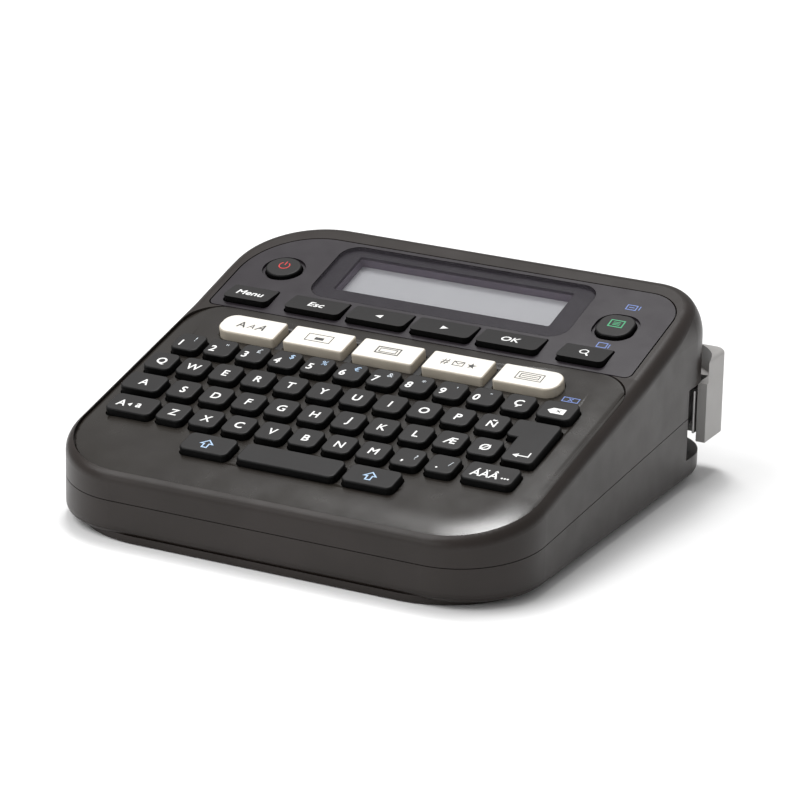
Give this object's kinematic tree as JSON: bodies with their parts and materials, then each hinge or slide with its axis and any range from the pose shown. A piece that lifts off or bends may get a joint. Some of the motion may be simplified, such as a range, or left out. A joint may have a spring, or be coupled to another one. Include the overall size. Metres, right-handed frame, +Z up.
{
  "type": "label maker",
  "caption": "Desktop label maker: wedge body with keyboard, tilted display panel, side cutter lever, removable back cover and a geared tape drive inside.",
  "frame": {"origin": "on the resting surface under the middle of the machine", "axes": "+X to the user's right along the width, +Y away from the user, +Z up"},
  "size_m": [0.157, 0.151, 0.0586],
  "materials": {
    "body_plastic": "satin brown-black moulded plastic",
    "plate_plastic": "satin charcoal plastic",
    "panel_plastic": "satin charcoal plastic with a faint violet tone",
    "key_plastic": "matte dark grey key plastic",
    "cream_plastic": "smooth cream plastic",
    "black_plastic": "black moulded plastic",
    "black_rubber": "matte rubber",
    "lever_grey": "mid grey moulded plastic",
    "exit_grey": "dark grey moulded plastic",
    "cassette_plastic": "dark grey plastic",
    "tinted_window": "tinted clear window",
    "lcd_grey": "light grey liquid crystal display",
    "board_green": "green circuit board",
    "cable_white": "white flat cable",
    "gear_white": "natural acetal",
    "tape_white": "white laminated tape",
    "ribbon_black": "black ribbon film",
    "cell_jacket": "printed metal jacket",
    "steel": "plated steel",
    "aluminium": "bare aluminium",
    "brass": "machined brass"
  },
  "bodies": {
    "housing": {"top_case": "body_plastic", "bottom_case": "body_plastic", "keyboard_plate": "plate_plastic", "display_panel": "panel_plastic", "rubber_feet": "black_rubber", "case_screws": "steel", "lcd_lens": "tinted_window", "lcd_frame": "black_plastic", "lcd_module": "lcd_grey", "keypad_membrane": "black_rubber", "panel_membrane": "black_rubber", "key_board": "board_green", "main_board": "board_green", "flat_cable": "cable_white", "tape_exit_frame": "exit_grey", "lever_pin": "steel", "lever_spring": "steel", "mechanism_chassis": "black_plastic", "motor": "steel", "roller_holder": "steel", "print_head": "aluminium", "tape_cassette": "cassette_plastic", "dry_cells": "cell_jacket", "battery_contacts": "steel", "dc_jack": "black_plastic"},
    "back_cover_body": {"back_cover": "body_plastic"},
    "lever_body": {"cutter_lever": "lever_grey", "cutter_blade": "steel"},
    "idler": {"idler_gear": "gear_white"},
    "pinion": {"motor_pinion": "brass"},
    "platen": {"platen_gear": "gear_white", "platen_roller": "black_rubber"},
    "ribbon": {"ribbon_drive": "gear_white", "ribbon_takeup": "ribbon_black"},
    "tape_reel": {"tape_roll": "tape_white"},
    "supply_reel": {"ribbon_supply": "ribbon_black"},
    "power_button_body": {"power_button": "key_plastic"},
    "print_button_body": {"print_button": "key_plastic"},
    "menu_key_body": {"menu_key": "key_plastic"},
    "escape_key_body": {"escape_key": "key_plastic"},
    "left_key_body": {"left_key": "key_plastic"},
    "right_key_body": {"right_key": "key_plastic"},
    "ok_key_body": {"ok_key": "key_plastic"},
    "preview_key_body": {"preview_key": "key_plastic"},
    "backspace_key_body": {"backspace_key": "key_plastic"},
    "enter_key_body": {"enter_key": "key_plastic"},
    "caps_key_body": {"caps_key": "key_plastic"},
    "accent_key_body": {"accent_key": "key_plastic"},
    "left_shift_key_body": {"left_shift_key": "key_plastic"},
    "space_key_body": {"space_key": "key_plastic"},
    "right_shift_key_body": {"right_shift_key": "key_plastic"},
    "style_key_body": {"style_key": "cream_plastic"},
    "layout_key_body": {"layout_key": "cream_plastic"},
    "frame_key_body": {"frame_key": "cream_plastic"},
    "symbol_key_body": {"symbol_key": "cream_plastic"},
    "label_type_key_body": {"label_type_key": "cream_plastic"},
    "number_row_keys_body": {"number_row_keys": "key_plastic"},
    "upper_letter_keys_body": {"upper_letter_keys": "key_plastic"},
    "home_letter_keys_body": {"home_letter_keys": "key_plastic"},
    "lower_letter_keys_body": {"lower_letter_keys": "key_plastic"}
  },
  "joints": [
    {"name": "power_button_press", "type": "slide", "parent": "housing", "child": "power_button_body", "axis": [0, 0.2873, -0.9578], "range_m": [0, 0.0012], "stiffness_N_per_m": 90, "springref_m": -0.001},
    {"name": "print_button_press", "type": "slide", "parent": "housing", "child": "print_button_body", "axis": [0, 0.2873, -0.9578], "range_m": [0, 0.0012], "stiffness_N_per_m": 90, "springref_m": -0.001},
    {"name": "menu_key_press", "type": "slide", "parent": "housing", "child": "menu_key_body", "axis": [0, 0.2873, -0.9578], "range_m": [0, 0.0012], "stiffness_N_per_m": 90, "springref_m": -0.001},
    {"name": "escape_key_press", "type": "slide", "parent": "housing", "child": "escape_key_body", "axis": [0, 0.2873, -0.9578], "range_m": [0, 0.0012], "stiffness_N_per_m": 90, "springref_m": -0.001},
    {"name": "left_key_press", "type": "slide", "parent": "housing", "child": "left_key_body", "axis": [0, 0.2873, -0.9578], "range_m": [0, 0.0012], "stiffness_N_per_m": 90, "springref_m": -0.001},
    {"name": "right_key_press", "type": "slide", "parent": "housing", "child": "right_key_body", "axis": [0, 0.2873, -0.9578], "range_m": [0, 0.0012], "stiffness_N_per_m": 90, "springref_m": -0.001},
    {"name": "ok_key_press", "type": "slide", "parent": "housing", "child": "ok_key_body", "axis": [0, 0.2873, -0.9578], "range_m": [0, 0.0012], "stiffness_N_per_m": 90, "springref_m": -0.001},
    {"name": "preview_key_press", "type": "slide", "parent": "housing", "child": "preview_key_body", "axis": [0, 0.2873, -0.9578], "range_m": [0, 0.0012], "stiffness_N_per_m": 90, "springref_m": -0.001},
    {"name": "backspace_key_press", "type": "slide", "parent": "housing", "child": "backspace_key_body", "axis": [0, 0.2416, -0.9704], "range_m": [0, 0.0012], "stiffness_N_per_m": 90, "springref_m": -0.001},
    {"name": "enter_key_press", "type": "slide", "parent": "housing", "child": "enter_key_body", "axis": [0, 0.2416, -0.9704], "range_m": [0, 0.0012], "stiffness_N_per_m": 90, "springref_m": -0.001},
    {"name": "caps_key_press", "type": "slide", "parent": "housing", "child": "caps_key_body", "axis": [0, 0.2416, -0.9704], "range_m": [0, 0.0012], "stiffness_N_per_m": 90, "springref_m": -0.001},
    {"name": "accent_key_press", "type": "slide", "parent": "housing", "child": "accent_key_body", "axis": [0, 0.2416, -0.9704], "range_m": [0, 0.0012], "stiffness_N_per_m": 90, "springref_m": -0.001},
    {"name": "left_shift_key_press", "type": "slide", "parent": "housing", "child": "left_shift_key_body", "axis": [0, 0.2416, -0.9704], "range_m": [0, 0.0012], "stiffness_N_per_m": 90, "springref_m": -0.001},
    {"name": "space_key_press", "type": "slide", "parent": "housing", "child": "space_key_body", "axis": [0, 0.2416, -0.9704], "range_m": [0, 0.0012], "stiffness_N_per_m": 90, "springref_m": -0.001},
    {"name": "right_shift_key_press", "type": "slide", "parent": "housing", "child": "right_shift_key_body", "axis": [0, 0.2416, -0.9704], "range_m": [0, 0.0012], "stiffness_N_per_m": 90, "springref_m": -0.001},
    {"name": "style_key_press", "type": "slide", "parent": "housing", "child": "style_key_body", "axis": [0, 0.2416, -0.9704], "range_m": [0, 0.0012], "stiffness_N_per_m": 90, "springref_m": -0.001},
    {"name": "layout_key_press", "type": "slide", "parent": "housing", "child": "layout_key_body", "axis": [0, 0.2416, -0.9704], "range_m": [0, 0.0012], "stiffness_N_per_m": 90, "springref_m": -0.001},
    {"name": "frame_key_press", "type": "slide", "parent": "housing", "child": "frame_key_body", "axis": [0, 0.2416, -0.9704], "range_m": [0, 0.0012], "stiffness_N_per_m": 90, "springref_m": -0.001},
    {"name": "symbol_key_press", "type": "slide", "parent": "housing", "child": "symbol_key_body", "axis": [0, 0.2416, -0.9704], "range_m": [0, 0.0012], "stiffness_N_per_m": 90, "springref_m": -0.001},
    {"name": "label_type_key_press", "type": "slide", "parent": "housing", "child": "label_type_key_body", "axis": [0, 0.2416, -0.9704], "range_m": [0, 0.0012], "stiffness_N_per_m": 90, "springref_m": -0.001},
    {"name": "number_row_keys_press", "type": "slide", "parent": "housing", "child": "number_row_keys_body", "axis": [0, 0.2416, -0.9704], "range_m": [0, 0.0012], "stiffness_N_per_m": 600, "springref_m": -0.001},
    {"name": "upper_letter_keys_press", "type": "slide", "parent": "housing", "child": "upper_letter_keys_body", "axis": [0, 0.2416, -0.9704], "range_m": [0, 0.0012], "stiffness_N_per_m": 600, "springref_m": -0.001},
    {"name": "home_letter_keys_press", "type": "slide", "parent": "housing", "child": "home_letter_keys_body", "axis": [0, 0.2416, -0.9704], "range_m": [0, 0.0012], "stiffness_N_per_m": 600, "springref_m": -0.001},
    {"name": "lower_letter_keys_press", "type": "slide", "parent": "housing", "child": "lower_letter_keys_body", "axis": [0, 0.2416, -0.9704], "range_m": [0, 0.0012], "stiffness_N_per_m": 600, "springref_m": -0.001},
    {"name": "cutter_lever_swing", "type": "hinge", "parent": "housing", "child": "lever_body", "pos_m": [0.044, 0.066, 0.029], "axis": [0, 0, -1], "range_deg": [0, 10], "stiffness_Nm_per_rad": 0.3, "springref_deg": -8.59},
    {"name": "back_cover_off", "type": "slide", "parent": "housing", "child": "back_cover_body", "axis": [0, 0, -1], "range_m": [0, 0.03]},
    {"name": "idler_spin", "type": "hinge", "parent": "housing", "child": "idler", "pos_m": [0.052, 0.032, 0.028], "axis": [0, 0, 1], "continuous": true},
    {"name": "pinion_spin", "type": "hinge", "parent": "housing", "child": "pinion", "pos_m": [0.05987, 0.01836, 0.028], "axis": [0, 0, 1], "continuous": true},
    {"name": "platen_spin", "type": "hinge", "parent": "housing", "child": "platen", "pos_m": [0.05701, 0.05069, 0.028], "axis": [0, 0, 1], "continuous": true},
    {"name": "ribbon_spin", "type": "hinge", "parent": "housing", "child": "ribbon", "pos_m": [0.03265, 0.032, 0.028], "axis": [0, 0, 1], "continuous": true},
    {"name": "tape_reel_spin", "type": "hinge", "parent": "housing", "child": "tape_reel", "pos_m": [-0.034, 0.031, 0.0137], "axis": [0, 0, 1], "continuous": true},
    {"name": "supply_reel_spin", "type": "hinge", "parent": "housing", "child": "supply_reel", "pos_m": [0, 0.031, 0.0137], "axis": [0, 0, 1], "continuous": true}
  ],
  "couplings": [
    {"joint": "pinion_spin", "follows": "idler_spin", "ratio": -3.3333},
    {"joint": "platen_spin", "follows": "idler_spin", "ratio": -1.6667},
    {"joint": "ribbon_spin", "follows": "idler_spin", "ratio": -1.6667},
    {"joint": "tape_reel_spin", "follows": "idler_spin", "ratio": 0.4167},
    {"joint": "supply_reel_spin", "follows": "idler_spin", "ratio": 0.75}
  ]
}
